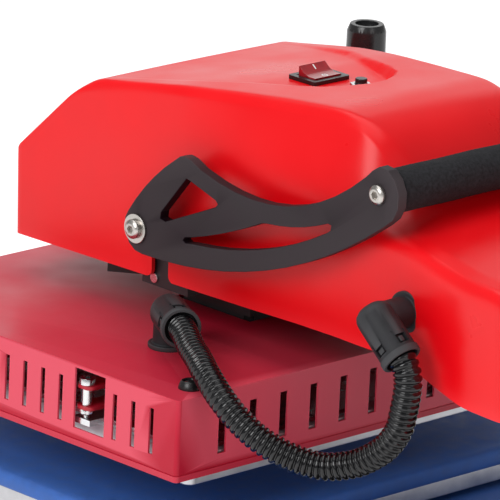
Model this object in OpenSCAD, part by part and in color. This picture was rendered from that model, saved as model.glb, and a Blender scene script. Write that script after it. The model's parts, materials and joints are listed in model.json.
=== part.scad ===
// Swing-away heat press with a crimson vented platen cover, a red hood and a foam-gripped lever.
// Millimetres, +Z up, the operator stands at -Y. The origin is on the bench under the platen's centre.

/* [Platens] */
// Width of the vented cover over the heating plate
cover_w = 381; // [375:1:390]
// Depth of the vented cover
cover_d = 305; // [300:1:310]
// Height of the vented cover's skirt
cover_h = 55; // [52:1:60]
// Open gap between the heating plate and the lower pad
open_gap = 28; // [27:1:32]
// Downward travel of the heating plate
press_travel = 24; // [18:1:24]
// Width of the lower pad
pad_w = 394; // [380:1:396]
// Depth of the lower pad
pad_d = 326; // [310:1:330]

/* [Stand] */
// Height of the steel deck above the bench
deck_z = 88; // [86:1:92]
// Half width of the base
base_half = 170; // [165:1:175]
// Height of the rubber feet
foot_h = 16; // [12:1:18]
// Diameter of the column
column_d = 50; // [46:1:52]
// Distance of the column behind the platen's centre
column_y = 300; // [296:1:304]

/* [Lever] */
// Distance of the lever shaft behind the platen's centre
pivot_y = 21; // [20:1:24]
// Height of the lever shaft above the vented cover
pivot_rise = 69; // [68:1:71]
// Distance from the lever shaft back to the cross bar
bar_back = 220; // [218:1:222]
// Height of the cross bar above the lever shaft
bar_up = 76; // [75:1:78]
// Outer face of each lever plate from the middle plane
lever_face = 109; // [108:1:112]
// Swing of the lever from open to closed, in degrees
lever_swing = 150; // [120:5:150]

/* [Quality] */
// Facets on a full circle
facets = 48; // [32:4:96]

/* [Hidden] */
$fn = facets;
fit = 0.05;              // radial clearance of a running fit
gap = 0.4;               // free gap between parts that move past each other
sheet = 1.5;
wall = 3;                // hood wall
plate_t = 8;             // lever plate
pad_t = 11;
table_t = 12;
table_z = deck_z + 4;
pad_top = table_z + table_t + pad_t;
heater_bottom = pad_top + open_gap;
hem_drop = 6;            // the heating plate stands this far below the cover's hem
cover_z = heater_bottom + hem_drop;
cover_top = cover_z + cover_h;
heater_t = 20;
heater_w = cover_w - 28;
heater_d = cover_d - 5;
pivot_z = cover_top + pivot_rise;
bar_y = pivot_y + bar_back;
bar_z = pivot_z + bar_up;
window_y = cover_d / 2 - 83.5;
window_w = 29;
window_h = 41;
rail_y = window_y - 10.5;
screw_x = cover_w / 2 - 7.8;
rail_w = 40;
rail_top = foot_h + rail_w;
frame_front = -150;
frame_rear = 372;
wheel_z = rail_top + 8;
arm_floor = cover_top + 36;
arm_floor_t = 8;
cheek_x = 44;
cheek_t = 6;
rod_x = 30;
rod_dy = 30;
rod_r = 5;
roller_r = 11.7;
cam_min = 34;            // distance from the shaft to the roller's axis, lever open
cam_clear = roller_r + 0.3;
roller_z = pivot_z - cam_min;
shaft_r = 7.5;
sleeve_r = 38;
sleeve_z = cover_top + 24;
sleeve_h = 76;
column_top = sleeve_z + sleeve_h + 4;
switch_y = 75;
breaker_y = 114;
panel_tilt = 43;
panel_y = -96;
panel_z = 114;
slot_half = 8;
grip_x = -140;
grip_y = -20;
conduit_r = 9.2;
inner_elbow = [117, 64];
head_elbow = [98, 261, 71];

// Hood lines: [distance behind the platen's centre, value], heights above the vented cover
hood_bottom = [[-122, 27], [0, 29], [108, 31], [213, 34], [245, 36], [270, 35], [299, 30],
    [325, 26], [361, 26], [400, 30]];
hood_half = [[-122, 86], [150, 86], [190, 88], [225, 92], [255, 97], [285, 103], [320, 110],
    [355, 113], [400, 113]];
crease_z = [[-122, 87], [-78, 103], [-39, 113], [2, 120], [63, 123], [104, 123], [169, 121],
    [216, 114], [268, 113], [307, 107], [354, 108], [385, 99], [400, 84]];
bevel_x = [[-122, 87.5], [-47, 87.5], [0, 87], [42, 86], [101, 79], [147, 72.5], [170, 70],
    [190, 69], [203, 66], [213, 62], [222, 63], [233, 70], [250, 80], [275, 90], [320, 98],
    [355, 101], [400, 101]];
bevel_z = [[-122, 88], [-67.6, 138.5], [-47.5, 144.5], [-18, 151.5], [42, 161], [101, 166.5],
    [147, 170], [170, 169.5], [190, 165], [203, 156], [213, 143], [222, 131], [233, 122],
    [250, 117.5], [275, 116], [320, 112], [350, 111], [385, 102], [400, 86]];
crest_x = [[-122, 86], [0, 85.5], [20, 85], [60, 81], [120, 71], [150, 67.5], [170, 66],
    [185, 64], [202, 58], [213, 51], [222, 48], [233, 50], [250, 56], [275, 64], [320, 72],
    [355, 74], [400, 74]];
crest_z = [[-122, 88.5], [-67.6, 139.4], [-47.5, 152], [-22, 156], [0, 159.7], [35, 165.5],
    [76, 170], [117, 173.5], [150, 175.5], [165, 176], [185, 172.5], [202, 163], [213, 150],
    [222, 138], [233, 127], [250, 120], [275, 118], [320, 115], [350, 113.5], [385, 104],
    [400, 88]];
recess_half = [[-47, 80], [-22, 76], [38, 64], [62, 53], [95, 41], [112, 32], [120, 22], [126, 8]];
recess_z = [[-47.5, 152], [0, 159.2], [40, 164], [58, 166], [92, 166], [98, 167], [131, 167]];
hood_stations = [-122, -104, -86, -67.6, -57, -47.5, -34, -22, -8, 8, 24, 40, 56, 72, 88, 100,
    112, 120, 126, 132, 142, 154, 166, 176, 186, 195, 203, 210, 217, 225, 233, 242, 252, 264,
    278, 294, 312, 332, 352, 366, 378, 387, 393, 397, 400];

// Route of the corrugated conduit, from the elbow on the cover to the elbow on the hood
conduit_route = [[132, 90, 23], [138, 101, 22.5], [148, 118, 19], [157, 135, 16.5],
    [166, 152, 12.5], [172, 173, 3], [171, 189, -7.5], [166.5, 205, -17], [157, 222, -25],
    [147, 239, -28.5], [139, 254, -25.5], [133.5, 266, -19.5], [129, 278, -9], [126.5, 286, 4],
    [126, 289, 17], [126, 291, 28], [126, 291.5, 37], [126, 290, 44], [126, 286.5, 49.6],
    [126, 282.4, 53]];

module box(size, at) {
    translate(at) cube(size, center = true);
}

module rod(r, length, at) {
    translate(at) cylinder(r = r, h = length, center = true);
}

module rod_x(r, length, at) {
    translate(at) rotate([0, 90, 0]) cylinder(r = r, h = length, center = true);
}

module four(dx, dy) {
    for (x = [-dx, dx], y = [-dy, dy])
        translate([x, y, 0]) children();
}

module rounded_slab(w, d, h, r) {
    linear_extrude(h) rounded_rect(w, d, r);
}

module rounded_rect(w, d, r) {
    square([w - 2 * r, d], center = true);
    square([w, d - 2 * r], center = true);
    for (x = [-1, 1], y = [-1, 1])
        translate([x * (w / 2 - r), y * (d / 2 - r)]) circle(r);
}

// ---- Stand ----

module base_frame() {
    color("dimgray") difference() {
        union() {
            for (x = [-1, 1])
                box([rail_w, frame_rear - frame_front, rail_w],
                    [x * (base_half - rail_w / 2), (frame_rear + frame_front) / 2, foot_h + rail_w / 2]);
            for (y = [-90, 90])
                box([2 * base_half - 2 * rail_w, 30, rail_w], [0, y, foot_h + rail_w / 2]);
            box([2 * base_half - 2 * rail_w, 130, 12], [0, column_y, rail_top - 6]);
            box([90, 150, 12], [0, 0, rail_top - 6]);
        }
        rod(15, 40, [0, 0, rail_top - 6]);
        four(120, 90) rod(12, 90, [0, 0, foot_h + rail_w / 2]);
        for (x = [-150, 150], y = [-105, 330]) rod(4.5, 90, [x, y, foot_h + rail_w / 2]);
        translate([0, column_y, 0]) four(45, 45) rod(5.2, 60, [0, 0, rail_top]);
    }
}

module rubber_feet() {
    color("black") for (x = [-150, 150], y = [-138, 360])
        translate([x, y, 0]) difference() {
            union() {
                cylinder(r1 = 16, r2 = 19, h = 4);
                translate([0, 0, 4]) cylinder(r = 19, h = foot_h - 4);
            }
            translate([0, 0, -1]) cylinder(r = 8, h = 7);
        }
}

module deck() {
    color("royalblue") difference() {
        translate([0, 25, rail_top]) rounded_slab(2 * base_half, 350, deck_z - rail_top, 10);
        translate([0, 25, rail_top - 1]) rounded_slab(2 * base_half - 4, 346, deck_z - rail_top - 1, 8);
        box([250, 60, 28], [0, frame_front, rail_top + 13]);
        rod(20, 40, [0, 0, deck_z]);
        four(120, 90) rod(14, 40, [0, 0, deck_z]);
        for (x = [-1, 1], y = [-110, 160]) rod_x(3.2, 20, [x * base_half, y, rail_top + 9]);
    }
}

module deck_screws() {
    color("silver") for (x = [-1, 1], y = [-110, 160]) {
        rod_x(3, 12, [x * (base_half - 5), y, rail_top + 9]);
        rod_x(5.5, 3, [x * (base_half + 1.5), y, rail_top + 9]);
        box([6, 16, 14], [x * (base_half - 9), y, rail_top + 7]);
    }
}

module spindle_nut() {
    color("goldenrod") difference() {
        union() {
            rod(15, 24, [0, 0, rail_top - 10]);
            rod(24, 5, [0, 0, rail_top + 2.5]);
        }
        rod(10 + fit, 80, [0, 0, rail_top]);
    }
}

module guide_bushes() {
    color("goldenrod") four(120, 90) difference() {
        union() {
            rod(12, rail_w, [0, 0, foot_h + rail_w / 2]);
            rod(16, 3, [0, 0, rail_top + 1.5]);
        }
        rod(8 + fit, 80, [0, 0, foot_h + rail_w / 2]);
    }
}

module column() {
    color("gray") translate([0, column_y, 0]) difference() {
        union() {
            rod(column_d / 2, column_top - rail_top, [0, 0, (column_top + rail_top) / 2]);
            box([130, 120, 12], [0, 0, rail_top + 6]);
            rod(column_d / 2 + 3, sleeve_z - 16 - rail_top, [0, 0, (sleeve_z - 16 + rail_top) / 2]);
            rod(column_d / 2 + 6, 10, [0, 0, sleeve_z - 21]);
            for (a = [0:90:270]) rotate(a) box([6, 60, 40], [0, 30, rail_top + 30]);
        }
        four(45, 45) rod(5.2, 60, [0, 0, rail_top]);
    }
}

module column_bolts() {
    color("silver") translate([0, column_y, 0]) four(45, 45) {
        rod(5, 36, [0, 0, rail_top + 2]);
        translate([0, 0, rail_top + 12]) cylinder(r = 9, h = 7, $fn = 6);
        translate([0, 0, rail_top - 20]) cylinder(r = 9, h = 8, $fn = 6);
    }
}

module thrust_washer() {
    color("goldenrod") translate([0, column_y, 0]) difference() {
        rod(sleeve_r - 2, 4, [0, 0, sleeve_z - 14]);
        rod(column_d / 2 + fit, 20, [0, 0, sleeve_z - 14]);
    }
}

// ---- Lower platen and its pressure wheel ----

module lower_table() {
    color("silver") difference() {
        union() {
            translate([0, 0, table_z]) rounded_slab(pad_w - 6, pad_d - 6, table_t, 12);
            rod(18, 8, [0, 0, table_z - 3]);
        }
        rod(10 + fit, 20, [0, 0, table_z - 3]);
        four(120, 90) rod(8, 16, [0, 0, table_z]);
    }
}

module lower_pad() {
    color("navy") translate([0, 0, table_z + table_t]) rounded_slab(pad_w, pad_d, pad_t, 14);
}

module table_pins() {
    color("silver") four(120, 90) rod(8, table_z + 8 - 24, [0, 0, (table_z + 8 + 24) / 2]);
}

module pressure_spindle() {
    color("silver") {
        rod(10, table_z + 6 - 26, [0, 0, (table_z + 6 + 26) / 2]);
        rod(15, 4, [0, 0, table_z - 9.5]);
    }
}

module star_wheel() {
    color("black") difference() {
        union() {
            rod(28, 14, [0, 0, wheel_z + 7]);
            translate([0, 0, wheel_z]) linear_extrude(10) difference() {
                circle(96);
                circle(82);
            }
            for (a = [0:60:300]) rotate(a) {
                box([66, 16, 7], [55, 0, wheel_z + 4.5]);
                rod(12, 13, [92, 0, wheel_z + 5.5]);
            }
        }
        rod(10, 60, [0, 0, wheel_z]);
    }
}

// ---- Swinging head ----

module swing_arm() {
    color([0.12, 0.12, 0.13]) difference() {
        union() {
            translate([0, column_y, sleeve_z]) cylinder(r = sleeve_r, h = sleeve_h);
            for (x = [-1, 1]) {
                box([cheek_t, 325, 60], [x * cheek_x, 107, arm_floor + 30]);
                box([16, 50, 36], [x * (cheek_x - 7), column_y - 48, arm_floor + 18]);
                box([10, 44, 73], [x * 76, pivot_y, cover_top + 58.5]);
            }
            box([162, 44, arm_floor_t], [0, pivot_y, arm_floor + arm_floor_t / 2]);
            box([2 * cheek_x + cheek_t, 120, arm_floor_t], [0, pivot_y, arm_floor + arm_floor_t / 2]);
            box([2 * cheek_x + cheek_t, 8, 40], [0, -46, arm_floor + 32]);
            box([2 * cheek_x + cheek_t, 110, 8], [0, 180, arm_floor + 56]);
        }
        rod(29, 200, [0, column_y, sleeve_z + 40]);
        rod_x(shaft_r + 4, 200, [0, pivot_y, pivot_z]);
        translate([0, pivot_y, 0]) four(rod_x, rod_dy) rod(rod_r + 3, 60, [0, 0, arm_floor]);
        box([34, 84, 30], [0, pivot_y, arm_floor]);
    }
}

module arm_bushes() {
    color("goldenrod") translate([0, column_y, 0]) difference() {
        union() {
            rod(29, 24, [0, 0, sleeve_z + 12]);
            rod(sleeve_r - 2, 11.6, [0, 0, sleeve_z - 5.8]);
            rod(29, 24, [0, 0, sleeve_z + sleeve_h - 12]);
        }
        rod(column_d / 2 + fit, 300, [0, 0, sleeve_z + 40]);
    }
}

module shaft_bushes() {
    color("goldenrod") for (x = [-1, 1]) difference() {
        union() {
            rod_x(shaft_r + 4, 12, [x * cheek_x, pivot_y, pivot_z]);
            rod_x(shaft_r + 7, 3, [x * (cheek_x - 4.5), pivot_y, pivot_z]);
        }
        rod_x(shaft_r + fit, 60, [x * cheek_x, pivot_y, pivot_z]);
    }
}

module rod_bushes() {
    color("goldenrod") translate([0, pivot_y, 0]) four(rod_x, rod_dy) difference() {
        union() {
            rod(rod_r + 3, 18, [0, 0, arm_floor]);
            rod(rod_r + 5, 2, [0, 0, arm_floor - 1]);
        }
        rod(rod_r + fit, 60, [0, 0, arm_floor]);
    }
}

function hood_crown(y, x) =
    let (cx = lookup(y, crest_x), cz = lookup(y, crest_z), rise = y < -40 ? 0 : 2)
    cz + rise * (1 - (x / cx) * (x / cx));

function hood_rim(y) = y > 131 ? 8 : min(lookup(y, recess_half), lookup(y, crest_x) - 9);

// Plan rounding of the housing's rear corners
function rear_round(y) = y < 355 ? 1 : (65 + 48 * sqrt(1 - pow(min(1, (y - 355) / 46), 2))) / 113;

function hood_half_section(y, t) =
    let (rim = hood_rim(y), k = rear_round(y + t), in_recess = y > -47.5 && y < 127,
         floor_z = in_recess ? lookup(y, recess_z) : hood_crown(y, rim))
    [[k * lookup(y, hood_half) - t, t > 0 ? -40 : lookup(y, hood_bottom)],
     [k * lookup(y, hood_half) + 2 - t, lookup(y, crease_z) - t],
     [k * lookup(y, bevel_x) - t, lookup(y, bevel_z) - t],
     [k * lookup(y, crest_x) - t, lookup(y, crest_z) - t],
     [rim + 3, hood_crown(y, rim) - t],
     [rim - 3, min(floor_z, hood_crown(y, rim)) - t],
     [0, (in_recess ? floor_z : hood_crown(y, 0)) - t]];

function hood_ring(y, t) =
    let (half = hood_half_section(y, t), n = len(half))
    concat([for (p = half) [p[0], y, cover_top + p[1]]],
           [for (i = [n - 2:-1:0]) [-half[i][0], y, cover_top + half[i][1]]]);

// A closed skin through rings of points, each ring with the same number of points
module loft(rings) {
    n = len(rings[0]);
    m = len(rings);
    points = [for (ring = rings) each ring];
    sides = [for (i = [0:m - 2], j = [0:n - 1])
        let (a = i * n + j, b = i * n + (j + 1) % n)
        each [[a, b, b + n], [a, b + n, a + n]]];
    caps = [[for (j = [n - 1:-1:0]) j], [for (j = [0:n - 1]) (m - 1) * n + j]];
    polyhedron(points = points, faces = concat(sides, caps), convexity = 8);
}

module hood() {
    color("red") difference() {
        loft([for (y = hood_stations) hood_ring(y, 0)]);
        loft([for (y = concat([-122 + wall], [for (y = hood_stations) if (y > -118 && y < 396) y]))
            hood_ring(y, wall)]);
        box([300, 2 * slot_half, 60], [0, pivot_y, pivot_z - 30]);
        rod_x(slot_half, 300, [0, pivot_y, pivot_z]);
        box([28, 22, 20], [0, switch_y, cover_top + 166]);
        rod(5.8, 30, [0, breaker_y, cover_top + 167]);
        for (y = [-60, 150]) rod_x(3.3, 16, [-86, y, cover_top + 44]);
        rod_x(13.9, 30, [100, head_elbow[1], cover_top + head_elbow[2]]);
        box([49, 30, 28], [0, 398, cover_top + 62]);
        translate([0, panel_y, cover_top + panel_z]) rotate([panel_tilt, 0, 0]) box([126, 56, 16], [0, 0, 0]);
    }
}

module hood_screws() {
    color("silver") {
        for (y = [-60, 150]) {
            rod_x(3, 38, [-67, y, cover_top + 44]);
            rod_x(6, 3, [-88.6, y, cover_top + 44]);
            box([30, 14, 14], [-62, y, cover_top + 44]);
        }
        rod_x(3.4, 1.6, [81.85, pivot_y - 9.5, cover_top + 27.6]);
    }
}

module on_panel() {
    translate([0, panel_y, cover_top + panel_z]) rotate([panel_tilt, 0, 0]) children();
}

button_x = [-45, -15, 15, 45];

module control_panel() {
    color([0.1, 0.1, 0.1]) on_panel() difference() {
        union() {
            translate([0, 0, -0.8]) rounded_slab(136, 62, 3.3, 6);
            box([116, 48, 12], [0, 0, -6]);
        }
        box([62, 22, 8], [0, 13, 2]);
        for (x = button_x) rod(6 + gap, 20, [x, -18, 0]);
        for (x = button_x) box([16, 16, 14], [x, -18, -8]);
    }
}

module display_window() {
    color("darkslategray") on_panel() box([61, 21, 3.7], [0, 13, -0.15]);
}

module panel_button(i) {
    color("lightgray") on_panel() {
        rod(6, 8, [button_x[i], -18, 1]);
        rod(7.4, 1.5, [button_x[i], -18, -2.2]);
    }
}

module switch_bezel() {
    color([0.08, 0.08, 0.08]) translate([0, switch_y, cover_top + 166]) difference() {
        union() {
            translate([0, 0, 0.2]) rounded_slab(33, 25.5, 2.6, 2);
            box([27.4, 21.4, 24], [0, 0, -11.8]);
        }
        box([24.6, 18.2, 26], [0, 0, 0]);
        rod_x(1.5 + fit, 26.2, [0, 0, 0]);
    }
}

module breaker_nut() {
    color("silver") translate([0, breaker_y, cover_top + 167]) difference() {
        union() {
            translate([0, 0, 0.4]) cylinder(r = 8.8, h = 1.4);
            translate([0, 0, 1.6]) cylinder(r = 7.6, h = 3, $fn = 6);
            rod(5.5, 22, [0, 0, -7]);
            rod(9, 20, [0, 0, -22]);
        }
        rod(4.3, 16, [0, 0, 2]);
    }
}

module mains_inlet() {
    color([0.08, 0.08, 0.08]) translate([0, 400, cover_top + 62]) difference() {
        union() {
            box([60, 2.8, 32], [0, 1.6, 0]);
            box([47, 26, 26], [0, -12, 0]);
        }
        box([26, 20, 18], [0, 0, 0]);
    }
}

module controller_box() {
    color("gray") box([66, 34, 34], [0, -84, cover_top + 60]);
}

// An elbow with a round flange, standing on +Z with its outlet along +Y
module elbow(height, reach) {
    difference() {
        union() {
            cylinder(r = 13.5, h = 4);
            cylinder(r = 10.5, h = height);
            translate([0, 0, height]) sphere(12.5);
            translate([0, 0, height]) rotate([-90, 0, 0]) cylinder(r = 12.5, h = reach);
            translate([0, reach - 8, height]) rotate([-90, 0, 0]) cylinder(r = 13, h = 8);
        }
        translate([0, reach - 6, height]) rotate([-90, 0, 0]) cylinder(r = conduit_r + 1.4, h = 10);
    }
}

module platen_elbow() {
    color([0.2, 0.2, 0.21]) translate([inner_elbow[0], inner_elbow[1], cover_top])
        rotate([0, 0, -30]) elbow(23, 34);
}

module head_elbow() {
    color([0.2, 0.2, 0.21]) translate([head_elbow[0], head_elbow[1], cover_top + head_elbow[2]])
        rotate([0, 90, 0]) rotate([0, 0, -40]) elbow(28, 32);
}

module grip_bracket() {
    color([0.12, 0.12, 0.13]) {
        box([108, 30, 6], [grip_x + 48, grip_y, cover_top + 19]);
        for (x = [-43, 43]) box([8, 20, 14], [x, grip_y - 7, cover_top + 29]);
        translate([0, 0, cover_top + 16]) linear_extrude(6)
            polygon([[-42, -45], [72, -45], [50, -17], [-42, -17]]);
        rod(7, 138, [grip_x, grip_y, cover_top + 85]);
        rod(11, 3.6, [grip_x, grip_y, cover_top + 23.8]);
    }
}

module swing_grip() {
    color([0.08, 0.08, 0.08]) translate([grip_x, grip_y, cover_top]) difference() {
        union() {
            translate([0, 0, 26]) cylinder(r1 = 15.5, r2 = 13.5, h = 131);
            translate([0, 0, 157]) cylinder(r1 = 13.5, r2 = 11.5, h = 5);
        }
        translate([0, 0, 20]) cylinder(r = 7 + fit, h = 135.5);
        translate([0, 0, 150]) cylinder(r = 8, h = 20);
    }
}

module grip_screw() {
    color("silver") translate([grip_x, grip_y, cover_top]) {
        translate([0, 0, 154]) cylinder(r = 7.4, h = 3);
    }
}

module return_springs() {
    color("silver") translate([0, pivot_y, 0]) four(rod_x, rod_dy) difference() {
        rod(9, 42, [0, 0, arm_floor + 9 + 21]);
        rod(6, 60, [0, 0, arm_floor + 30]);
    }
}

// ---- Lever ----

// Side plate outline: the lower edge is a long bow, the upper edge a hump and a dip
function bow(a, b, sag, n) = [for (i = [0:n]) let (t = i / n)
    a + (b - a) * t + sag * 4 * t * (1 - t) * [(b - a)[1], -(b - a)[0]] / norm(b - a)];

module lever_outline() {
    polygon(concat(
        [[-11.5, 5], [-11, -4], [-7, -11.5], [-1, -15.5]],
        bow([6, -16.5], [226, 56], 19.5, 12),
        [[233, 62], [237, 70], [237, 80], [233, 88], [227, 93], [219, 94], [213, 90]],
        bow([208, 85], [58, 53.5], -21.5, 10),
        [[48, 58], [42, 59], [38, 58]],
        bow([34, 55], [-9, 10], 3, 5)));
}

module lever_windows() {
    polygon([[45, 44.5], [48, 44], [73, 36.5], [75, 34.5], [73, 32], [27, 11], [22, 12], [22.5, 16.5]]);
    polygon(concat([[44, 2.5], [46, 5]], bow([53, 6.5], [116, 31.5], 1.4, 5),
        bow([121, 32.5], [176, 46], 2.4, 5), [[179, 45.5], [178.5, 42]],
        bow([175, 39.5], [53, 2], -7.2, 8), [[46.5, 1]]));
}

module lever_plate(side) {
    color([0.2, 0.19, 0.2]) translate([side > 0 ? lever_face - plate_t : -lever_face, pivot_y, pivot_z])
        rotate([90, 0, 90]) linear_extrude(plate_t) difference() {
            lever_outline();
            lever_windows();
            circle(4.1);
            translate([bar_back, bar_up]) circle(4.1);
        }
}

module lever_shaft() {
    color("dimgray") difference() {
        rod_x(shaft_r, 2 * (lever_face - plate_t), [0, pivot_y, pivot_z]);
        for (x = [-1, 1]) rod_x(4, 30, [x * (lever_face - 4), pivot_y, pivot_z]);
    }
}

// Cam whose roller axis recedes by the same amount for every degree of lever swing
function cam_pitch(a) = cam_min + press_travel * a / lever_swing;

function cam_point(a) =
    let (p = cam_pitch(a), slope = press_travel * 180 / (PI * lever_swing),
         u = [-sin(a), -cos(a)], v = [-cos(a), sin(a)])
    u * p - cam_clear * (u * p - v * slope) / norm([p, slope]);

module press_cam() {
    color("dimgray") translate([-7, pivot_y, pivot_z]) rotate([90, 0, 90]) linear_extrude(14) difference() {
        polygon(concat([for (a = [-12:6:lever_swing + 12]) cam_point(a)],
            [for (a = [185:20:335]) 19 * [-sin(a), -cos(a)]]));
        circle(shaft_r);
    }
}

module lever_bolts() {
    color("silver") for (x = [-1, 1]) {
        rod_x(4, 20, [x * (lever_face - 4), pivot_y, pivot_z]);
        rod_x(6.5, 4, [x * (lever_face + 4), pivot_y, pivot_z]);
        rod_x(4, 20, [x * (lever_face - 4), bar_y, bar_z]);
        rod_x(6.5, 4, [x * (lever_face + 2), bar_y, bar_z]);
    }
}

module lever_washers() {
    color("silver") for (x = [-1, 1]) difference() {
        rod_x(10, 2, [x * (lever_face + 1), pivot_y, pivot_z]);
        rod_x(4, 10, [x * lever_face, pivot_y, pivot_z]);
    }
}

module cross_bar() {
    color("dimgray") difference() {
        rod_x(9, 2 * (lever_face - plate_t), [0, bar_y, bar_z]);
        for (x = [-1, 1]) rod_x(4, 30, [x * (lever_face - 4), bar_y, bar_z]);
    }
}

module foam_grip() {
    color([0.07, 0.07, 0.07]) difference() {
        rod_x(14.5, 2 * (lever_face - plate_t) - 2, [0, bar_y, bar_z]);
        rod_x(9, 300, [0, bar_y, bar_z]);
    }
}

// ---- Pressing carriage and heated platen ----

module guide_rods() {
    color("silver") translate([0, pivot_y, 0]) four(rod_x, rod_dy) {
        rod(rod_r, arm_floor + 50 - cover_top, [0, 0, (arm_floor + 62 + cover_top) / 2]);
        rod(9, 4, [0, 0, arm_floor + 53]);
    }
}

module press_block() {
    color("gray") translate([0, pivot_y, 0]) difference() {
        union() {
            box([80, 80, 9], [0, 0, cover_top + 9.5]);
            box([70, 58, 24], [0, 0, cover_top - 5]);
            for (x = [-1, 1]) box([6, 26, 32], [x * 12, 0, cover_top + 29]);
        }
        four(rod_x, rod_dy) rod(rod_r, 60, [0, 0, cover_top + 20]);
        rod_x(4, 60, [0, 0, roller_z]);
        rod_x(roller_r + 1.5, 17, [0, 0, roller_z]);
    }
}

module roller_pin() {
    color("silver") rod_x(4, 32, [0, pivot_y, roller_z]);
}

module cam_roller() {
    color("silver") difference() {
        rod_x(roller_r, 14, [0, pivot_y, roller_z]);
        rod_x(4 + fit, 30, [0, pivot_y, roller_z]);
    }
}

module carrier_rails() {
    color("firebrick") difference() {
        union() {
            for (y = [-rail_y, rail_y], z = [-17, -31])
                translate([0, y, cover_top + z]) rounded_slab(cover_w - 6, 15, 2.5, 5);
            for (y = [-rail_y, rail_y])
                box([cover_w - 60, 2.5, 14], [0, y, cover_top - 22.5]);
            box([100, 2 * rail_y, 4], [0, 0, cover_top - 22]);
            box([80, 90, 8], [0, pivot_y, cover_top - 21]);
        }
        four(screw_x, rail_y) rod(3, 60, [0, 0, cover_top - 20]);
    }
}

module levelling_screws() {
    color("silver") four(screw_x, rail_y) {
        rod(3, 28, [0, 0, cover_top - 26]);
        translate([0, 0, cover_top - 14.45]) cylinder(r = 5.5, h = 4.4, $fn = 6);
        translate([0, 0, cover_top - 34.05]) cylinder(r = 5.5, h = 3, $fn = 6);
    }
}

module insulation_board() {
    color("silver") translate([0, 0, heater_bottom + heater_t]) difference() {
        union() {
            rounded_slab(heater_w - 6, heater_d - 6, 4, 4);
            for (y = [-rail_y, rail_y]) box([2 * screw_x + 9, 16, 4], [0, y, 2]);
        }
        four(screw_x, rail_y) rod(3.2, 20, [0, 0, 0]);
    }
}

module heating_plate() {
    color("silver") translate([0, 0, heater_bottom]) rounded_slab(heater_w, heater_d, heater_t, 6);
}

module side_slots() {
    side_pitch = 17.3;
    first = 24.9;
    for (i = [0:15]) {
        y = cover_d / 2 - first - i * side_pitch;
        clear = abs(abs(y) - window_y) > window_w / 2 + 5;
        if (clear) box([cover_w + 20, 4, 31], [0, y, cover_top - 26.5]);
    }
}

module end_slots() {
    pitch = 27.4;
    for (i = [0:11])
        box([7, cover_d + 20, 31], [(i - 5.5) * pitch, 0, cover_top - 27]);
}

module platen_cover() {
    color("crimson") difference() {
        union() {
            translate([0, 0, cover_z]) rounded_slab(cover_w, cover_d, cover_h, 3);
            translate([0, 0, cover_z]) rounded_slab(cover_w + 1.4, cover_d + 1.4, 4, 3);
        }
        translate([0, 0, cover_z - 1])
            rounded_slab(cover_w - 2 * sheet, cover_d - 2 * sheet, cover_h + 1 - sheet, 2);
        side_slots();
        end_slots();
        for (y = [-window_y, window_y]) box([cover_w + 20, window_w, window_h], [0, y, cover_top - 23]);
        box([72, 72, 20], [0, pivot_y, cover_top]);
        translate([inner_elbow[0], inner_elbow[1], cover_top]) cylinder(r = 8, h = 20, center = true);
        four(cover_w / 2 - 25, cover_d / 2 - 16) rod(2.5, 20, [0, 0, cover_top]);
    }
}

module cover_caps() {
    color([0.06, 0.06, 0.06]) four(cover_w / 2 - 25, cover_d / 2 - 16) difference() {
        union() {
            translate([0, 0, cover_top]) cylinder(r = 8, h = 3);
            translate([0, 0, cover_top + 3]) cylinder(r1 = 7, r2 = 6, h = 2.5);
            translate([0, 0, cover_top - 8]) cylinder(r = 2.5, h = 9);
        }
        translate([0, 0, cover_top + 4]) cylinder(r = 4, h = 4);
    }
}

// A round tube along a route: rings square to the route, a few to each stretch
function route_point(route, s) =
    let (n = len(route) - 1, i = min(n - 1, floor(s)), t = s - i,
         a = route[max(0, i - 1)], b = route[i], c = route[i + 1], d = route[min(n, i + 2)])
    0.5 * (2 * b + (c - a) * t + (2 * a - 5 * b + 4 * c - d) * t * t + (3 * b - a - 3 * c + d) * t * t * t);

function tube_ring(p, dir, r, sides) =
    let (u = cross(dir, [0.02, 0.3, 1]), uu = u / norm(u), w = cross(uu, dir / norm(dir)))
    [for (k = [0:sides - 1]) p + r * (cos(360 * k / sides) * uu + sin(360 * k / sides) * w)];

module conduit() {
    per = 2;
    sides = 10;
    last = len(conduit_route) - 1;
    color("black") translate([0, 0, cover_top]) loft([for (k = [0:last * per])
        let (s = k / per, p = route_point(conduit_route, s),
             e = route_point(conduit_route, max(0, s - 0.1)),
             f = route_point(conduit_route, min(last, s + 0.1)))
        tube_ring(p, f - e, conduit_r, sides)]);
}

// ---- Switch and breaker ----

module rocker() {
    color("darkred") translate([0, switch_y, cover_top + 166]) {
        rotate([90, 0, 90]) translate([0, 0, -12]) linear_extrude(24)
            polygon([[-7.2, 9], [-2.4, 5.2], [2.5, 3.6], [8.4, 3.7], [7.4, -2], [-7, -2]]);
        rod_x(1.5, 25.8, [0, 0, 0]);
    }
}

module breaker_button() {
    color("black") rod(4, 11, [0, breaker_y, cover_top + 169.8]);
}

base_frame();
rubber_feet();
deck();
deck_screws();
spindle_nut();
guide_bushes();
column();
column_bolts();
thrust_washer();
lower_table();
lower_pad();
table_pins();
pressure_spindle();
star_wheel();
swing_arm();
arm_bushes();
shaft_bushes();
rod_bushes();
hood();
hood_screws();
control_panel();
display_window();
switch_bezel();
breaker_nut();
mains_inlet();
head_elbow();
grip_bracket();
return_springs();
controller_box();
lever_plate(1);  // lever_plate_right
lever_plate(-1);  // lever_plate_left
lever_shaft();
press_cam();
lever_bolts();
lever_washers();
cross_bar();
foam_grip();
guide_rods();
press_block();
roller_pin();
cam_roller();
carrier_rails();
levelling_screws();
insulation_board();
heating_plate();
platen_cover();
cover_caps();
platen_elbow();
conduit();
swing_grip();
grip_screw();
rocker();
breaker_button();
panel_button(0);  // button_set
panel_button(1);  // button_up
panel_button(2);  // button_down
panel_button(3);  // button_timer
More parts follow.
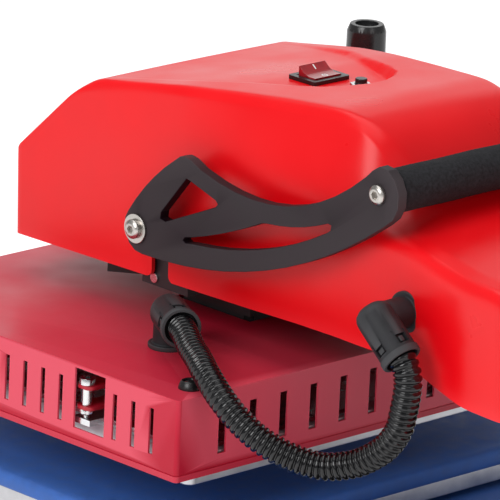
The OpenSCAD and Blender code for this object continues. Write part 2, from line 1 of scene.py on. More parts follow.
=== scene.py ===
"""The heat press, dressed for the camera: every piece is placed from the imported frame, in metres."""

import json
import math

import bmesh
import bpy
import numpy as np
from mathutils import Matrix, Vector


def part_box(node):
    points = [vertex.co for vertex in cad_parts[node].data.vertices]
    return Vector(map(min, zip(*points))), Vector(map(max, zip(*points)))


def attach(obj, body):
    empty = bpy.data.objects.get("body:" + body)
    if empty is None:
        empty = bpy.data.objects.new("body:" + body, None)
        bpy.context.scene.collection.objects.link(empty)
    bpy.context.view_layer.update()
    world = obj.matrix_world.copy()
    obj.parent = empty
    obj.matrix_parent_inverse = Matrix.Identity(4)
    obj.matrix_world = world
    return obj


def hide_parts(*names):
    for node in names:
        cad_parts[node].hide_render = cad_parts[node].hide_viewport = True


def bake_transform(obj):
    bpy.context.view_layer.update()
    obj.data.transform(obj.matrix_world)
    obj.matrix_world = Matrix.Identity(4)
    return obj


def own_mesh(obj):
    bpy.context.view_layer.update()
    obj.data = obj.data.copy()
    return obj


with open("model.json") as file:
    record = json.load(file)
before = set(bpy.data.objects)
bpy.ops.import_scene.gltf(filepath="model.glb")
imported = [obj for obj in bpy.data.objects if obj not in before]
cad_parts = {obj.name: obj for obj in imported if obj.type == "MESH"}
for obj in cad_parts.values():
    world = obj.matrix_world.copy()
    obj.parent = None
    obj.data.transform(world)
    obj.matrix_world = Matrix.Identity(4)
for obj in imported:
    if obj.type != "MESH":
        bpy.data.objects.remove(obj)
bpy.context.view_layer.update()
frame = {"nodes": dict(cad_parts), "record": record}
MM = 0.001


def middle_of(node):
    """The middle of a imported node's box, in millimetres."""
    low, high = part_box(node)
    return (low + high) / 2 / MM


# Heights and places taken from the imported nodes, in millimetres
COVER_HEIGHT = 55
COVER_LOW, COVER_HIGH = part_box("platen_cover")
COVER_TOP = (COVER_HIGH.z + COVER_LOW.z) / 2 / MM + COVER_HEIGHT / 2
SHAFT = middle_of("lever_shaft")
BAR = middle_of("cross_bar")


# ---------------------------------------------------------------- camera
CAMERA_AT = (2.7626, 2.8133, 1.4229)
CAMERA_TURN, CAMERA_DROP, CAMERA_ROLL = 44.66, 16.78, -2.61
LENS = 440.07


def aim_camera():
    """A long lens behind the press, on the operator's right."""
    turn, drop, roll = math.radians(CAMERA_TURN), math.radians(CAMERA_DROP), math.radians(CAMERA_ROLL)
    forward = Vector((-math.sin(turn) * math.cos(drop), -math.cos(turn) * math.cos(drop), -math.sin(drop)))
    right = Vector((-math.cos(turn), math.sin(turn), 0))
    down = forward.cross(right)
    across = right * math.cos(roll) + down * math.sin(roll)
    below = down * math.cos(roll) - right * math.sin(roll)
    data = bpy.data.cameras.new("camera")
    data.sensor_width = 36
    data.lens = LENS
    data.clip_end = 50
    camera = bpy.data.objects.new("camera", data)
    bpy.context.scene.collection.objects.link(camera)
    columns = Matrix((across, -below, -forward)).transposed().to_4x4()
    camera.matrix_world = Matrix.Translation(CAMERA_AT) @ columns
    bpy.context.scene.camera = camera


# ---------------------------------------------------------------- mesh helpers
def new_object(name, points, faces, smooth=True):
    """An object from points in millimetres."""
    mesh = bpy.data.meshes.new(name)
    mesh.from_pydata([tuple(p) for p in np.asarray(points, float) * MM], [], [tuple(f) for f in faces])
    mesh.validate()
    tidy = bmesh.new()
    tidy.from_mesh(mesh)
    bmesh.ops.recalc_face_normals(tidy, faces=tidy.faces)
    tidy.to_mesh(mesh)
    tidy.free()
    obj = bpy.data.objects.new(name, mesh)
    bpy.context.scene.collection.objects.link(obj)
    for polygon in mesh.polygons:
        polygon.use_smooth = smooth
    return obj


def sharpen(obj, degrees=35):
    obj.data.set_sharp_from_angle(angle=math.radians(degrees))


def smooth_all(obj):
    for polygon in obj.data.polygons:
        polygon.use_smooth = True


def bake_modifiers(obj):
    """Applies the modifiers, so that the piece's own mesh is its final one."""
    graph = bpy.context.evaluated_depsgraph_get()
    done = bpy.data.meshes.new_from_object(obj.evaluated_get(graph))
    obj.modifiers.clear()
    obj.data = done
    return obj


def cut_away(obj, tool):
    """Takes the tool's shape out of a piece, and deletes the tool."""
    cut = obj.modifiers.new("cut", "BOOLEAN")
    cut.operation = "DIFFERENCE"
    cut.solver = "EXACT"
    cut.object = tool
    bpy.context.view_layer.update()
    bake_modifiers(obj)
    bpy.data.objects.remove(tool)


def join(name, objects):
    """One object from several, all with their places in their meshes."""
    merged = bmesh.new()
    for o in objects:
        o.data.transform(o.matrix_world)
        o.matrix_world = Matrix.Identity(4)
        merged.from_mesh(o.data)
        bpy.data.objects.remove(o)
    mesh = bpy.data.meshes.new(name)
    merged.to_mesh(mesh)
    merged.free()
    obj = bpy.data.objects.new(name, mesh)
    bpy.context.scene.collection.objects.link(obj)
    return obj


def stacked(name, rings, caps=(True, True), closed=True, smooth=True):
    """A skin through rings of points. closed joins each ring's last point to its first."""
    rings = np.asarray(rings, float)
    count, size = rings.shape[:2]
    faces = []
    for i in range(count - 1):
        for j in range(size if closed else size - 1):
            k = (j + 1) % size
            faces.append((i * size + j, i * size + k, (i + 1) * size + k, (i + 1) * size + j))
    if caps[0]:
        faces.append(tuple(range(size - 1, -1, -1)))
    if caps[1]:
        faces.append(tuple((count - 1) * size + j for j in range(size)))
    return new_object(name, rings.reshape(-1, 3), faces, smooth)


def circle(sides=48):
    """The angles of a round ring's points."""
    return [2 * math.pi * k / sides for k in range(sides)]


def corners(x, y):
    """The four places at plus and minus x and y."""
    return [(cx, cy) for cx in (-x, x) for cy in (-y, y)]


def lathe(name, profile, sides=48, caps=(True, True)):
    """A round piece about Z from (radius, height) pairs."""
    rings = [[(r * math.cos(a), r * math.sin(a), z) for a in circle(sides)] for r, z in profile]
    return stacked(name, rings, caps)


def shift(x, y, z):
    """A move in millimetres, as a matrix."""
    return Matrix.Translation(Vector((x, y, z)) * MM)


def place(obj, move=(0, 0, 0), spin=None):
    matrix = shift(*move)
    if spin is not None:
        matrix = matrix @ spin
    obj.data.transform(matrix)
    return obj


def bevelled(obj, width, segments=3, angle=30):
    bevel = obj.modifiers.new("bevel", "BEVEL")
    bevel.width = width * MM
    bevel.segments = segments
    bevel.limit_method = "ANGLE"
    bevel.angle_limit = math.radians(angle)
    bevel.harden_normals = False
    return obj


def cube(name, size, at, width=0.4):
    """A box about a point, with eased edges."""
    sx, sy, sz = (v / 2 for v in size)
    points = [(at[0] + x * sx, at[1] + y * sy, at[2] + z * sz)
              for x in (-1, 1) for y in (-1, 1) for z in (-1, 1)]
    faces = [(0, 1, 3, 2), (4, 6, 7, 5), (0, 4, 5, 1), (2, 3, 7, 6), (0, 2, 6, 4), (1, 5, 7, 3)]
    obj = new_object(name, points, faces)
    if width:
        bake_modifiers(bevelled(obj, width))
    sharpen(obj)
    return obj


def turn_x(degrees):
    return Matrix.Rotation(math.radians(degrees), 4, "X")


def turn_y(degrees):
    return Matrix.Rotation(math.radians(degrees), 4, "Y")


def turn_z(degrees):
    return Matrix.Rotation(math.radians(degrees), 4, "Z")


def sweep_rings(path, radii, sides):
    """Round rings along a path, carried without twist."""
    path = np.asarray(path, float)
    along = np.gradient(path, axis=0)
    along /= np.linalg.norm(along, axis=1)[:, None]
    first = np.cross(along[0], (0.02, 0.3, 1.0))
    first /= np.linalg.norm(first)
    rings = []
    for p, d, r in zip(path, along, radii):
        first = first - d * first.dot(d)
        first /= np.linalg.norm(first)
        second = np.cross(d, first)
        turns = np.linspace(0, 2 * math.pi, sides, endpoint=False)
        rings.append(p + r * (np.cos(turns)[:, None] * first + np.sin(turns)[:, None] * second))
    return rings


# ---------------------------------------------------------------- material helpers
def surface(name, colour, rough, metal=0.0, mottle=(60, 0.12), grain=(900, 0.02), coat=0.0,
            edge_highlight=None, scratch=None, rough_swing=0.08, spec=0.5, through=0.0):
    """A procedural finish: mottled colour, fine bump, roughness that varies, and paler or darker edges
    painted on as an edge highlight.
    """
    mat = bpy.data.materials.new(name)
    mat.use_nodes = True
    nodes, links = mat.node_tree.nodes, mat.node_tree.links
    shader = nodes["Principled BSDF"]
    shader.inputs["Metallic"].default_value = metal
    shader.inputs["Coat Weight"].default_value = coat
    shader.inputs["Coat Roughness"].default_value = 0.12
    shader.inputs["Specular IOR Level"].default_value = spec
    shader.inputs["Transmission Weight"].default_value = through
    where = nodes.new("ShaderNodeTexCoord")
    broad = nodes.new("ShaderNodeTexNoise")
    broad.inputs["Scale"].default_value = mottle[0]
    broad.inputs["Detail"].default_value = 5
    links.new(where.outputs["Object"], broad.inputs["Vector"])
    tone = nodes.new("ShaderNodeValToRGB")
    low = [max(0.0, c * (1 - mottle[1])) for c in colour] + [1]
    high = [min(1.0, c * (1 + mottle[1])) for c in colour] + [1]
    tone.color_ramp.elements[0].position = 0.3
    tone.color_ramp.elements[0].color = low
    tone.color_ramp.elements[1].position = 0.7
    tone.color_ramp.elements[1].color = high
    links.new(broad.outputs["Fac"], tone.inputs["Fac"])
    out = tone.outputs["Color"]
    # Paler colour on convex edges, picked out by pointiness: a painted highlight along the edges.
    if edge_highlight:
        shape = nodes.new("ShaderNodeNewGeometry")
        edge = nodes.new("ShaderNodeValToRGB")
        edge.color_ramp.elements[0].position = 0.51
        edge.color_ramp.elements[0].color = (0, 0, 0, 1)
        edge.color_ramp.elements[1].position = 0.6
        edge.color_ramp.elements[1].color = (edge_highlight[1],) * 3 + (1,)
        links.new(shape.outputs["Pointiness"], edge.inputs["Fac"])
        blend = nodes.new("ShaderNodeMix")
        blend.data_type = "RGBA"
        links.new(edge.outputs["Color"], blend.inputs["Factor"])
        links.new(out, blend.inputs[6])
        blend.inputs[7].default_value = (*edge_highlight[0], 1)
        out = blend.outputs[2]
    links.new(out, shader.inputs["Base Color"])
    fine = nodes.new("ShaderNodeTexNoise")
    fine.inputs["Scale"].default_value = grain[0]
    fine.inputs["Detail"].default_value = 3
    links.new(where.outputs["Object"], fine.inputs["Vector"])
    if scratch:
        stretch = nodes.new("ShaderNodeMapping")
        stretch.inputs["Scale"].default_value = scratch
        links.new(where.outputs["Object"], stretch.inputs["Vector"])
        links.new(stretch.outputs["Vector"], fine.inputs["Vector"])
    polish = nodes.new("ShaderNodeMapRange")
    polish.inputs["From Min"].default_value = 0.3
    polish.inputs["From Max"].default_value = 0.7
    polish.inputs["To Min"].default_value = max(0.02, rough - rough_swing)
    polish.inputs["To Max"].default_value = min(1.0, rough + rough_swing)
    links.new(broad.outputs["Fac"], polish.inputs["Value"])
    links.new(polish.outputs["Result"], shader.inputs["Roughness"])
    bump = nodes.new("ShaderNodeBump")
    bump.inputs["Strength"].default_value = 0.6
    bump.inputs["Distance"].default_value = grain[1] * MM
    links.new(fine.outputs["Fac"], bump.inputs["Height"])
    links.new(bump.outputs["Normal"], shader.inputs["Normal"])
    return mat


def glow(name, colour, strength, **finish):
    mat = surface(name, colour, 0.5, **finish)
    shader = mat.node_tree.nodes["Principled BSDF"]
    shader.inputs["Emission Color"].default_value = (*colour, 1)
    shader.inputs["Emission Strength"].default_value = strength
    return mat


# The colours given for the edges paint convex edges paler: a painted edge highlight.
MAT = {
    "hood_plastic": surface("hood_red", (0.82, 0.001, 0.005), 0.34, mottle=(14, 0.035), grain=(1400, 0.035),
                            spec=0.34, edge_highlight=((0.95, 0.03, 0.04), 0.5)),
    "cover_paint": surface("cover_crimson", (0.47, 0.002, 0.024), 0.38, spec=0.26, mottle=(22, 0.05),
                           grain=(900, 0.05), edge_highlight=((0.80, 0.10, 0.15), 0.7)),
    "rail_paint": surface("rail_red", (0.42, 0.006, 0.02), 0.38, mottle=(40, 0.08), grain=(900, 0.04)),
    "lever_paint": surface("lever_black", (0.009, 0.004, 0.007), 0.46, spec=0.08, mottle=(50, 0.25),
                           grain=(1600, 0.05), edge_highlight=((0.10, 0.085, 0.09), 0.9)),
    "frame_paint": surface("frame_black", (0.030, 0.030, 0.033), 0.42, mottle=(30, 0.2), grain=(700, 0.08),
                           edge_highlight=((0.10, 0.10, 0.10), 0.7)),
    "arm_paint": surface("arm_black", (0.020, 0.020, 0.022), 0.45, mottle=(30, 0.2), grain=(700, 0.08)),
    "deck_paint": surface("deck_blue", (0.020, 0.090, 0.36), 0.40, mottle=(25, 0.08), grain=(800, 0.06),
                          edge_highlight=((0.10, 0.22, 0.55), 0.6)),
    "pad_silicone": surface("pad_blue", (0.028, 0.110, 0.40), 0.62, mottle=(120, 0.10), grain=(2200, 0.10)),
    "feet_rubber": surface("feet_rubber", (0.018, 0.018, 0.018), 0.75, mottle=(80, 0.2), grain=(1500, 0.1)),
    "zinc_fastener": surface("zinc", (0.70, 0.70, 0.71), 0.20, 1.0, mottle=(140, 0.10), grain=(2000, 0.02)),
    "bolt_steel": surface("stainless", (0.52, 0.49, 0.46), 0.27, 1.0, mottle=(160, 0.12), grain=(1800, 0.03)),
    "ground_steel": surface("ground_steel", (0.50, 0.50, 0.52), 0.27, 1.0, mottle=(90, 0.12),
                            grain=(500, 0.02), scratch=(1, 1, 14)),
    "spring_steel": surface("spring_steel", (0.42, 0.42, 0.44), 0.32, 1.0, mottle=(140, 0.15)),
    "bronze": surface("bronze", (0.55, 0.36, 0.14), 0.33, 1.0, mottle=(120, 0.18)),
    "cast_table": surface("cast_aluminium", (0.56, 0.56, 0.58), 0.42, 1.0, mottle=(70, 0.12),
                          grain=(420, 0.12)),
    "heater_aluminium": surface("heater_aluminium", (0.66, 0.66, 0.69), 0.44, 0.85, mottle=(60, 0.10),
                                grain=(500, 0.08)),
    "insulation_foil": surface("foil", (0.78, 0.78, 0.80), 0.25, 1.0, mottle=(45, 0.12), grain=(160, 0.35)),
    "wheel_plastic": surface("wheel_black", (0.022, 0.022, 0.022), 0.35, mottle=(60, 0.2),
                             grain=(900, 0.05)),
    "panel_plastic": surface("panel_black", (0.020, 0.020, 0.022), 0.48, mottle=(90, 0.2),
                             grain=(2200, 0.06)),
    "switch_plastic": surface("switch_black", (0.010, 0.010, 0.011), 0.28, mottle=(120, 0.25),
                              grain=(2400, 0.03)),
    "button_plastic": surface("button_grey", (0.52, 0.52, 0.54), 0.5, mottle=(200, 0.08),
                              grain=(2400, 0.04)),
    "elbow_plastic": surface("elbow_grey", (0.020, 0.020, 0.023), 0.55, spec=0.24, mottle=(130, 0.22),
                             grain=(2600, 0.07), edge_highlight=((0.10, 0.10, 0.105), 0.6)),
    "conduit_plastic": surface("conduit_black", (0.004, 0.004, 0.005), 0.15, mottle=(160, 0.25),
                               grain=(1800, 0.02)),
    "controller_case": surface("controller_case", (0.30, 0.30, 0.31), 0.5, mottle=(60, 0.1)),
    "bar_tube": surface("bar_tube", (0.02, 0.02, 0.02), 0.4, mottle=(60, 0.2)),
    "foam": surface("foam_black", (0.020, 0.020, 0.023), 0.92, mottle=(500, 0.45), grain=(2600, 0.55),
                    spec=0.25),
    "grip_plastic": surface("grip_black", (0.013, 0.013, 0.014), 0.22, mottle=(60, 0.2), grain=(1400, 0.02)),
    "rocker_plastic": surface("rocker_red", (0.42, 0.004, 0.012), 0.12, mottle=(160, 0.2), grain=(900, 0.01),
                              coat=0.6, through=0.25),
    "display_glass": surface("display_glass", (0.012, 0.022, 0.02), 0.08, mottle=(40, 0.1), coat=0.5),
}
MARK = surface("white_mark", (0.86, 0.86, 0.86), 0.45, mottle=(300, 0.05))
DIGIT = glow("digit", (0.95, 0.12, 0.05), 2.2)


def dress(obj, slot, body=None, replaces=()):
    """Gives a piece its finish and its place in the assembly."""
    obj.data.materials.clear()
    obj.data.materials.append(MAT[slot])
    if body:
        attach(obj, body)
    if replaces:
        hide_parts(*replaces)
    return obj


# ---------------------------------------------------------------- conduit
ROUTE = [(132, 90, 23), (138, 101, 22.5), (148, 118, 19), (157, 135, 16.5), (166, 152, 12.5),
         (172, 173, 3), (171, 189, -7.5), (166.5, 205, -17), (157, 222, -25), (147, 239, -28.5),
         (139, 254, -25.5), (133.5, 266, -19.5), (129, 278, -9), (126.5, 286, 4), (126, 289, 17),
         (126, 291, 28), (126, 291.5, 37), (126, 290, 44), (126, 286.5, 49.6), (126, 282.4, 53)]
CONDUIT_R = 9.2
RIB_PITCH = 4.2
RIB_DEPTH = 1.75
RINGS_PER_RIB = 9


def through_points(points, steps):
    """A smooth curve through the points, the same one that the CAD tube follows."""
    points = np.asarray(points, float)
    last = len(points) - 1
    out = []
    for s in np.linspace(0, last, steps):
        i = min(last - 1, int(s))
        t = s - i
        a, b, c, d = points[max(0, i - 1)], points[i], points[i + 1], points[min(last, i + 2)]
        out.append(0.5 * (2 * b + (c - a) * t + (2 * a - 5 * b + 4 * c - d) * t ** 2
                          + (3 * b - a - 3 * c + d) * t ** 3))
    return np.array(out)


def make_conduit():
    """The ribbed conduit, on a curved route between the platen and the head."""
    route = [(x, y, z + COVER_TOP) for x, y, z in ROUTE]
    fine = through_points(route, 2000)
    length = np.concatenate([[0], np.cumsum(np.linalg.norm(np.diff(fine, axis=0), axis=1))])
    total = length[-1]
    at = np.linspace(0, total, int(total / RIB_PITCH * RINGS_PER_RIB))
    path = np.column_stack([np.interp(at, length, fine[:, k]) for k in range(3)])
    wave = 0.5 - 0.5 * np.cos(2 * math.pi * at / RIB_PITCH)
    radii = CONDUIT_R - RIB_DEPTH * (1 - np.minimum(1, 1.35 * wave) ** 0.6)
    piece = stacked("conduit_tube", sweep_rings(path, radii, 28), (True, True))
    dress(piece, "conduit_plastic", replaces=("conduit",))
    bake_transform(piece)


aim_camera()
make_conduit()


# ---------------------------------------------------------------- hood
HOOD = {
    "bottom": [(-122, 27), (0, 29), (108, 31), (213, 34), (245, 36), (270, 35), (299, 30), (325, 26),
               (361, 26), (400, 30)],
    "half": [(-122, 86), (150, 86), (190, 88), (225, 92), (255, 97), (285, 103), (320, 110), (355, 113),
             (400, 113)],
    "crease_z": [(-122, 87), (-78, 103), (-39, 113), (2, 120), (63, 123), (104, 123), (169, 121),
                 (216, 114), (268, 113), (307, 107), (354, 108), (385, 99), (400, 84)],
    "bevel_x": [(-122, 87.5), (-47, 87.5), (0, 87), (42, 86), (101, 79), (147, 72.5), (170, 70), (190, 69),
                (203, 66), (213, 62), (222, 63), (233, 70), (250, 80), (275, 90), (320, 98), (355, 101),
                (400, 101)],
    "bevel_z": [(-122, 88), (-67.6, 138.5), (-47.5, 144.5), (-18, 151.5), (42, 161), (101, 166.5),
                (147, 170), (170, 169.5), (190, 165), (203, 156), (213, 143), (222, 131), (233, 122),
                (250, 117.5), (275, 116), (320, 112), (350, 111), (385, 102), (400, 86)],
    "crest_x": [(-122, 86), (0, 85.5), (20, 85), (60, 81), (120, 71), (150, 67.5), (170, 66), (185, 64),
                (202, 58), (213, 51), (222, 48), (233, 50), (250, 56), (275, 64), (320, 72), (355, 74),
                (400, 74)],
    "crest_z": [(-122, 88.5), (-67.6, 139.4), (-47.5, 152), (-22, 156), (0, 159.7), (35, 165.5), (76, 170),
                (117, 173.5), (150, 175.5), (165, 176), (185, 172.5), (202, 163), (213, 150), (222, 138),
                (233, 127), (250, 120), (275, 118), (320, 115), (350, 113.5), (385, 104), (400, 88)],
    "floor": [(-47.5, 152), (0, 159.2), (40, 164), (58, 166), (92, 166), (98, 167), (131, 167)],
}
RIM = [(-47.5, 76), (-22, 76), (38, 64), (62, 53), (95, 41), (112, 32), (120, 22), (126, 8), (127.5, 0)]
FRONT, REAR = -122.0, 400.0
REAR_ROUND_FROM, REAR_ROUND_LENGTH = 355, 46
REAR_HALF, REAR_FLAT_HALF = 113, 65
RECESS_FRONT, RECESS_REAR, RECESS_WALL = -47.5, 140, 5.5
RECESS_FLOOR_END = 131
WALL = 3
SLOT_R, MOUTH_HALF, MOUTH_R, MOUTH_DROP, SLOT_REACH = 8, 13, 5, 20, 150


def line(name, y, reach=7.0):
    """One of the hood's lines at y, with its corners eased over the given reach."""
    reach = max(0.4, min(reach, y - FRONT, REAR - y))
    table = np.array(HOOD[name], float)
    return float(np.mean(np.interp(y + np.linspace(-reach, reach, 11), table[:, 0], table[:, 1])))


def ease(v):
    v = np.clip(v, 0, 1)
    return v * v * (3 - 2 * v)


def rear_round(y):
    """How much of its full width the hood keeps at y, with its rear corners rounded."""
    if y < REAR_ROUND_FROM:
        return 1.0
    along = min(1, (y - REAR_ROUND_FROM) / REAR_ROUND_LENGTH)
    return (REAR_FLAT_HALF + (REAR_HALF - REAR_FLAT_HALF) * math.sqrt(1 - along ** 2)) / REAR_HALF


def eased_corner(before, corner, after, reach, steps):
    """A short curve in place of a corner."""
    before, corner, after = (np.array(p, float) for p in (before, corner, after))
    a = corner + (before - corner) * min(0.45, reach / np.linalg.norm(before - corner))
    c = corner + (after - corner) * min(0.45, reach / np.linalg.norm(after - corner))
    return [(1 - t) ** 2 * a + 2 * t * (1 - t) * corner + t * t * c for t in np.linspace(0, 1, steps)]


rim_line = np.array(RIM, float)
rim_line = np.column_stack([np.interp(np.linspace(0, 1, 240), np.linspace(0, 1, len(RIM)), rim_line[:, k])
                            for k in (0, 1)])


def recess_share(x, y):
    """0 outside the sunken panel on the hood's top, 1 on its floor."""
    if y > RECESS_REAR:
        return np.zeros_like(x)
    gap = np.sqrt((np.abs(x)[:, None] - rim_line[:, 1][None]) ** 2 + (y - rim_line[:, 0][None]) ** 2).min(1)
    order = np.argsort(rim_line[:, 0])
    inside = np.abs(x) < np.interp(y, rim_line[order, 0], rim_line[order, 1], right=0)
    return ease(0.5 + np.where(inside, gap, -gap) / RECESS_WALL)


def hood_half_line(y):
    """One side of the hood's section at y, from its lower edge to its crest."""
    k = rear_round(y)
    bottom = (k * line("half", y), line("bottom", y))
    crease = (k * (line("half", y) + 2), line("crease_z", y, 12))
    bevel = (k * line("bevel_x", y), line("bevel_z", y))
    crest = (k * line("crest_x", y), line("crest_z", y))
    inner = (crest[0] - 8, crest[1] + 0.3)
    points = [np.array(bottom) + (np.array(crease) - np.array(bottom)) * t for t in np.linspace(0, 0.8, 9)]
    points += eased_corner(bottom, crease, bevel, 11, 7)
    start = points[-1]
    curve = eased_corner(crease, bevel, crest, 2.2, 4)
    points += [start + (curve[0] - start) * t for t in np.linspace(0, 1, 8)[1:-1]]
    points += curve
    points += eased_corner(bevel, crest, inner, 3.0, 5)
    return points, crest


def hood_ring(y, inset):
    """The hood's section at y, shrunk by the inset for the eased ends."""
    side, crest = hood_half_line(y)
    edge = side[-1][0]
    x = np.linspace(edge, -edge, 93)[1:-1]
    rise = 2 * ease((y + 60) / 40)
    top = crest[1] + rise * (1 - (x / crest[0]) ** 2)
    if y > RECESS_FRONT:
        floor = line("floor", min(y, RECESS_FLOOR_END), 4)
        share = recess_share(x, y)
        top = top * (1 - share) + np.minimum(floor, top) * share
    ring = [(p[0], p[1]) for p in side] + list(zip(x, top)) + [(-p[0], p[1]) for p in side[::-1]]
    low = line("bottom", y)
    shrink_x, shrink_z = 1 - inset / edge, 1 - inset / (crest[1] - low)
    return [(px * shrink_x, y, COVER_TOP + low + (pz - low) * shrink_z) for px, pz in ring]


def lever_slot():
    """The open slot that the lever's shaft passes through: a round top, and a mouth with rounded corners."""
    mouth = COVER_TOP + line("bottom", SHAFT.y)
    outline = [(SLOT_R * math.cos(a), SLOT_R * math.sin(a) + SHAFT.z) for a in np.linspace(math.pi, 0, 25)]
    outline += [(MOUTH_HALF - MOUTH_R * math.cos(a), mouth + MOUTH_R - MOUTH_R * math.sin(a))
                for a in np.linspace(0, math.pi / 2, 9)]
    outline += [(MOUTH_HALF, mouth - MOUTH_DROP), (-MOUTH_HALF, mouth - MOUTH_DROP)]
    outline += [(-MOUTH_HALF + MOUTH_R * math.cos(a), mouth + MOUTH_R - MOUTH_R * math.sin(a))
                for a in np.linspace(math.pi / 2, 0, 9)]
    return stacked("slot", [[(x, SHAFT.y + y, z) for y, z in outline] for x in (-SLOT_REACH, SLOT_REACH)])


def make_hood():
    """The moulded shell. Its sections are close together where its outline turns."""
    front = [(FRONT, 2.6), (FRONT + 0.5, 1.3), (FRONT + 1.5, 0.4), (FRONT + 3, 0)]
    rear = [(REAR - 3, 0), (REAR - 1.5, 0.5), (REAR - 0.5, 1.5), (REAR, 3)]
    middle = list(np.arange(FRONT + 6, 104, 3.0)) + list(np.arange(104, 134, 1.0))
    middle += list(np.arange(134, 350, 3.0)) + list(np.arange(350, 388, 2.0))
    middle += list(np.arange(388, 397, 1.0))
    rings = [hood_ring(y, inset) for y, inset in front + [(y, 0) for y in middle] + rear]
    hood = stacked("hood_shell", rings, (True, True), closed=False)
    shell = hood.modifiers.new("shell", "SOLIDIFY")
    shell.thickness = WALL * MM
    shell.offset = -1
    bake_modifiers(hood)
    cut_away(hood, lever_slot())
    smooth_all(hood)
    sharpen(hood, 32)
    dress(hood, "hood_plastic", "head", ("hood",))


# ---------------------------------------------------------------- elbows
def make_elbow(name, height, reach, matrix, body, node):
    """A neck along Z and a sleeve along Y, with latches in its windows and grooves round its mouth."""
    neck = lathe("neck", [(13.2, 0), (13.5, 0.4), (13.5, 2.6), (13.1, 3.0), (11.0, 3.1), (10.4, 3.7),
                          (10.2, height)])
    profile = [(0.4, -9.8), (4.0, -9.6), (8.2, -8.5), (11.0, -6.4), (12.3, -3.6), (12.6, -0.6),
               (12.7, reach - 4.4), (13.5, reach - 4.2), (13.5, reach - 0.9), (13.0, reach),
               (11.3, reach), (10.9, reach - 0.8), (10.7, reach - 6)]
    sleeve = place(lathe(name, profile), (0, 0, height), turn_x(-90))
    cutters = []
    for sign in (-1, 1):
        cutters.append(cube("window", (8, 6.5, 7.0), (sign * 14.2, reach - 9.6, height + 2.0), 0))
    cutters.append(cube("window", (7.5, 6.0, 8), (0, reach - 9.6, height + 14.2), 0))
    for angle in range(20, 360, 40):
        groove = cube("groove", (1.1, 9.5, 1.2), (0, 0, 0), 0)
        place(groove, (0, reach - 11.4, height), turn_y(angle) @ Matrix.Translation((0, 0, 12.9 * MM)))
        cutters.append(groove)
    cut_away(sleeve, join("cutters", cutters))
    latches = [cube("latch", (1.6, 4.0, 3.2), (sign * 11.2, reach - 9.4, height + 2.0)) for sign in (-1, 1)]
    latches.append(cube("latch", (4.6, 3.4, 1.6), (0, reach - 9.4, height + 11.2)))
    piece = join(name + "_body", [neck, sleeve, *latches])
    smooth_all(piece)
    sharpen(piece, 38)
    piece.data.transform(matrix)
    dress(piece, "elbow_plastic", body, (node,))


# ---------------------------------------------------------------- soft pieces
BAR_TUBE_R = 9.1
FOAM_SIDES = 64
PAD_CORNER = 14
PAD_CROWN = 8


def make_foam():
    """The foam sleeve on the cross bar: round ends, and a skin that is not quite even."""
    low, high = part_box("foam_grip")
    half = (high.x - low.x) / 2 / MM
    radius = (high.z - low.z) / 2 / MM
    stations = [-half, -half, -half + 0.9, -half + 2.6] + list(np.arange(-half + 5, half - 4, 2.0))
    stations += [half - 2.6, half - 0.9, half, half]
    ease_in = [BAR_TUBE_R, radius - 2.6, radius - 0.8, radius - 0.1]
    radii = ease_in + [radius] * (len(stations) - 2 * len(ease_in)) + ease_in[::-1]
    rng = np.random.default_rng(7)
    turns = np.linspace(0, 2 * math.pi, FOAM_SIDES, endpoint=False)
    rings = []
    for x, r in zip(stations, radii):
        wobble = (0.12 * np.sin(3 * turns + x / 9) + 0.10 * np.sin(5 * turns - x / 13)
                  + rng.normal(0, 0.05, FOAM_SIDES))
        wide = r + (wobble - 0.2 if r > 10 else 0)
        rings.append(np.column_stack([np.full(FOAM_SIDES, x), BAR.y + wide * np.cos(turns),
                                      BAR.z + wide * np.sin(turns)]))
    foam = stacked("foam_sleeve", rings, (False, False))
    dress(foam, "foam", "lever", ("foam_grip",))


def rounded_outline(half_x, half_y, radius, steps=9):
    points = []
    for cx, cy, start in ((1, 1, 0), (-1, 1, 90), (-1, -1, 180), (1, -1, 270)):
        for a in np.linspace(start, start + 90, steps):
            points.append((cx * (half_x - radius) + radius * math.cos(math.radians(a)),
                           cy * (half_y - radius) + radius * math.sin(math.radians(a))))
    return points


def make_pad():
    """The silicone pad, flat below, with an eased upper edge."""
    low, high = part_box("lower_pad")
    half_x, half_y = (high.x - low.x) / 2 / MM, (high.y - low.y) / 2 / MM
    bottom, top = low.z / MM, high.z / MM
    profile = [(2.0, bottom), (0.6, bottom + 0.5), (0.1, bottom + 1.8), (0.0, bottom + 4), (0.0, top - 4.5),
               (0.5, top - 2.2), (1.6, top - 0.8), (3.4, top - 0.15), (PAD_CROWN, top)]
    rings = [[(x, y, z) for x, y in rounded_outline(half_x - inset, half_y - inset, PAD_CORNER - inset)]
             for inset, z in profile]
    flat = rounded_outline(half_x - PAD_CROWN, half_y - PAD_CROWN, PAD_CORNER - PAD_CROWN)
    inner = [[(x * share, y * share, top) for x, y in flat] for share in (0.85, 0.6, 0.3, 0.1)]
    pad = stacked("press_pad", rings + inner, (True, True))
    sharpen(pad, 50)
    dress(pad, "pad_silicone", "lower_platen", ("lower_pad",))


# ---------------------------------------------------------------- springs and screws
def make_springs():
    """Four return springs with closed ends."""
    low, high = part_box("return_springs")
    bottom, top = low.z / MM, high.z / MM
    coils = []
    turns, wire, mean, points = 7.5, 1.4, 7.5, 260
    end_turns, end_rise = 0.7, 0.06
    for dx, dy in corners(30, 30):
        share = np.linspace(0, 1, points)
        rise = np.clip((share * turns - end_turns) / (turns - 2 * end_turns), 0, 1)
        z = bottom + wire + (top - bottom - 2 * wire) * (end_rise * share + (1 - end_rise) * rise)
        path = np.column_stack([dx + mean * np.cos(2 * math.pi * turns * share),
                                SHAFT.y + dy + mean * np.sin(2 * math.pi * turns * share), z])
        coils.append(stacked("coil", sweep_rings(path, [wire] * points, 8)))
    springs = join("spring_coils", coils)
    smooth_all(springs)
    dress(springs, "spring_steel", "head", ("return_springs",))
    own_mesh(springs)


